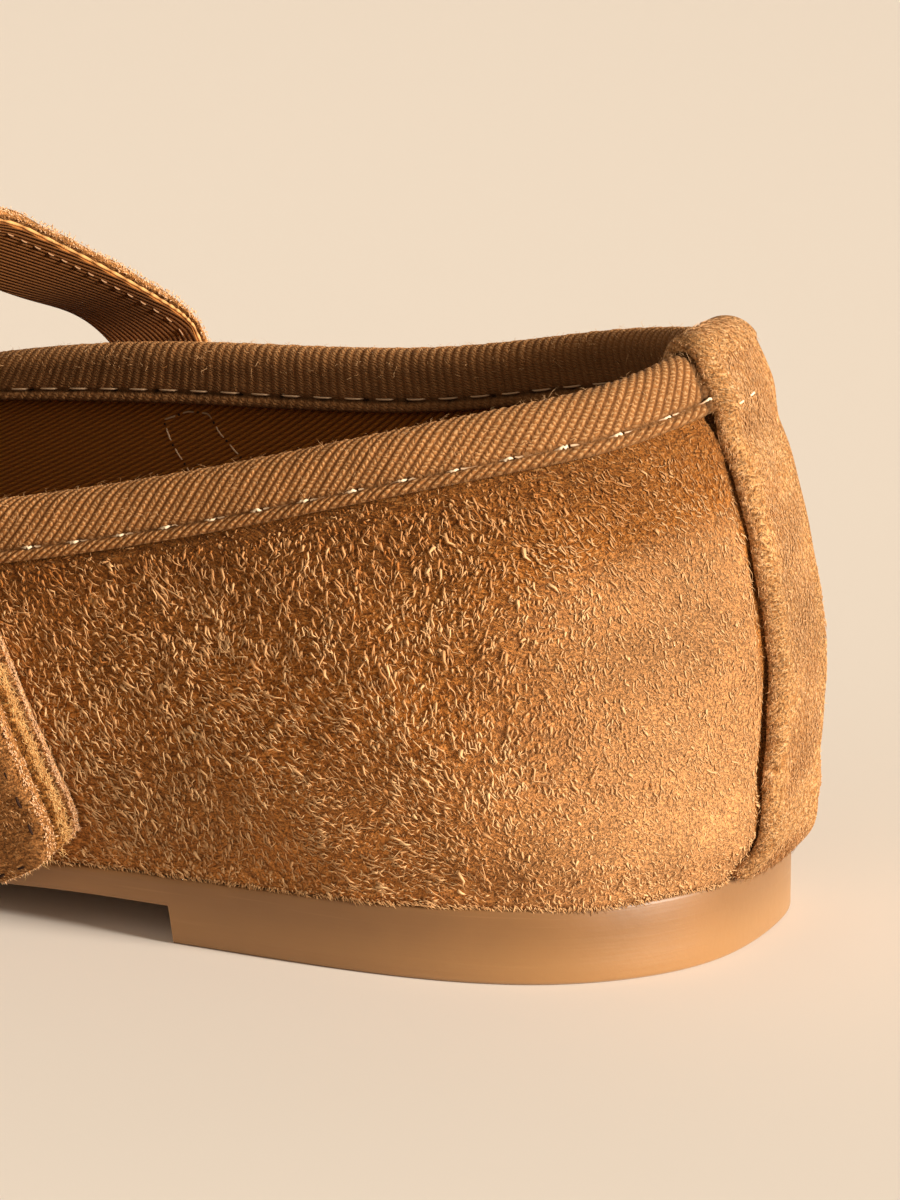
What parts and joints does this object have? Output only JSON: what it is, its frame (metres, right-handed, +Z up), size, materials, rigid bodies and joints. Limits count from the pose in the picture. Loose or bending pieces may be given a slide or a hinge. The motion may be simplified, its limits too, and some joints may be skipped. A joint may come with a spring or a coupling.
{
  "type": "ballet flat",
  "caption": "Low suede ballet flat with a twill-bound collar, an instep strap that closes on the outer side, a back strip and a thin rubber sole with a low heel block.",
  "frame": {"origin": "on the floor, in the middle of the underside of the heel block", "axes": "+X from heel to toe along the sole, +Y towards the outer side of the foot, +Z up"},
  "size_m": [0.2525, 0.0816, 0.0711],
  "materials": {
    "gum_rubber": "smooth, half gloss",
    "lining": "brown twill",
    "suede": "tan suede with a curly nap",
    "twill": "ribbed twill tape",
    "strip_suede": "tan suede, short nap",
    "strap_suede": "tan suede outside, twill inside",
    "pile": "fuzzy loop pile",
    "patch": "thin woven patch"
  },
  "bodies": {
    "root": {"outsole": "gum_rubber", "insole": "lining", "upper": "suede", "topline_binding": "twill", "back_strip": "strip_suede", "strap": "strap_suede", "closure_pile": "pile", "closure_base": "patch"}
  },
  "joints": []
}
